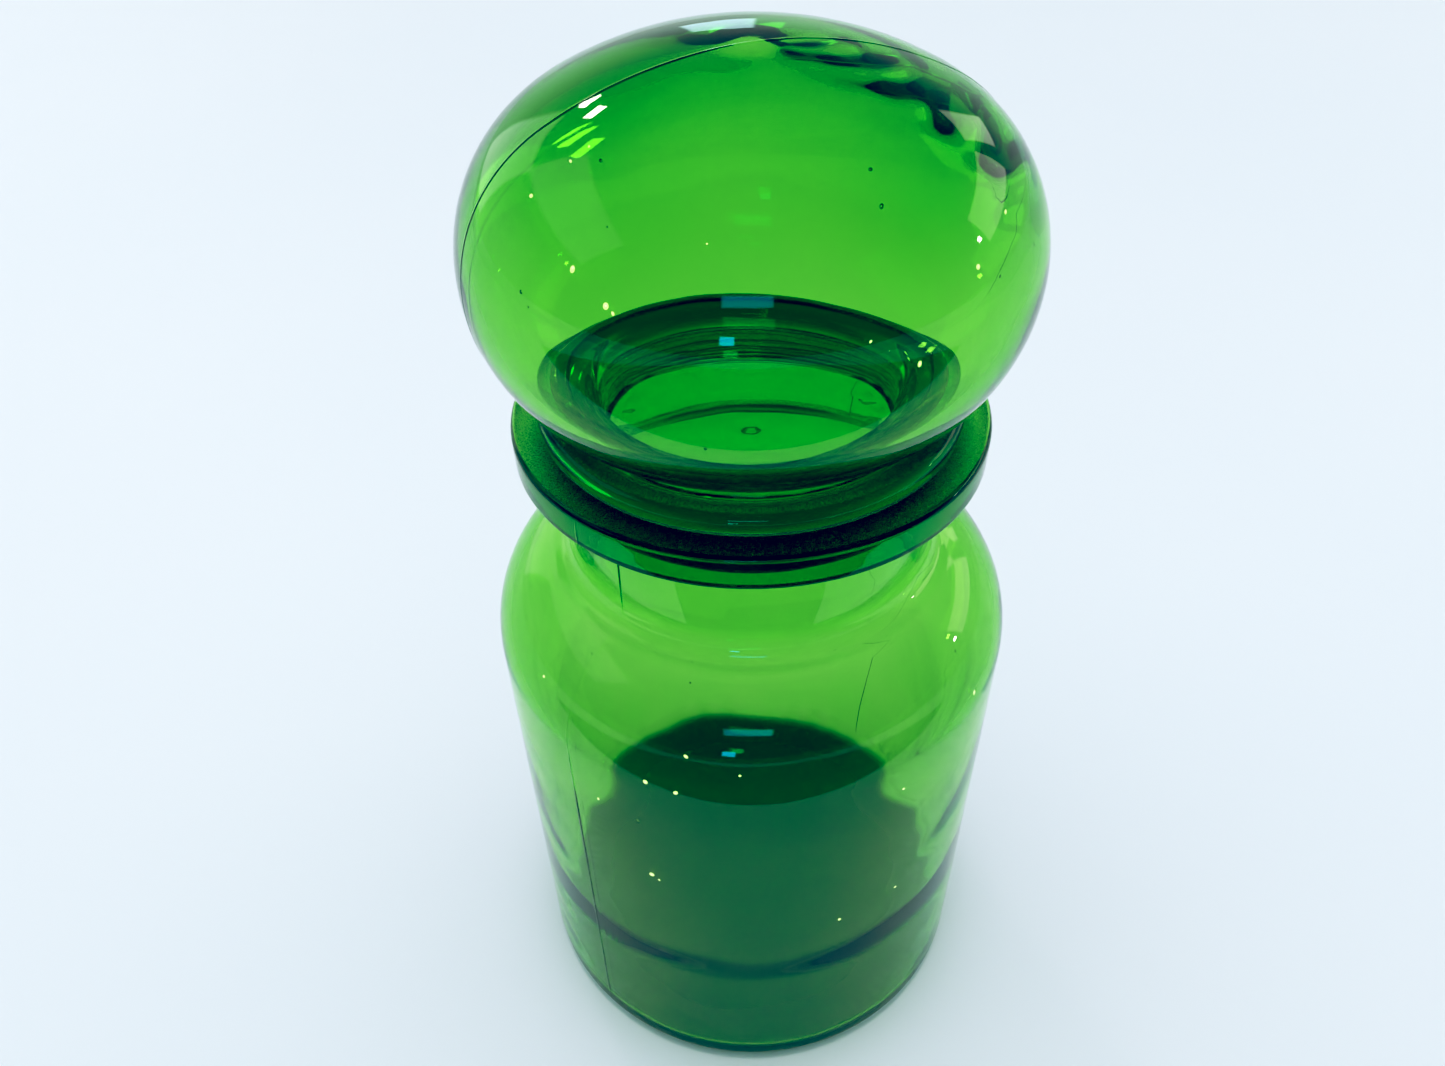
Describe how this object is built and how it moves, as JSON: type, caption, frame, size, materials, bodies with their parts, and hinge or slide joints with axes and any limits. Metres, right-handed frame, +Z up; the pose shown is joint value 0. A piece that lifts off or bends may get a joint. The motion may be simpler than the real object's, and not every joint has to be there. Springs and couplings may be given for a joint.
{
  "type": "apothecary jar with bulb stopper",
  "caption": "Round green glass apothecary jar with a wide ground flange and a hollow bulb stopper that lifts out and turns in a ribbed sealing ring.",
  "frame": {"origin": "centre of the jar's foot, on the surface that it stands on", "axes": "+Z up along the jar's own axis, from the foot to the top of the bulb; the glass is turned about this axis, so X and Y are free"},
  "size_m": [0.11, 0.11, 0.2279],
  "materials": {
    "jar_glass": "clear green blown glass, polished, with a ground flange",
    "stopper_glass": "clear green blown glass, polished",
    "seal_plastic": "natural milky polyethylene, satin"
  },
  "bodies": {
    "jar": {"jar": "jar_glass"},
    "seal": {"seal_ring": "seal_plastic"},
    "stopper": {"stopper": "stopper_glass"}
  },
  "joints": [
    {"name": "stopper_lift", "type": "slide", "parent": "jar", "child": "seal", "axis": [0, 0, 1], "range_m": [0, 0.085]},
    {"name": "stopper_turn", "type": "hinge", "parent": "seal", "child": "stopper", "pos_m": [0, 0, 0.162], "axis": [0, 0, 1], "continuous": true}
  ]
}
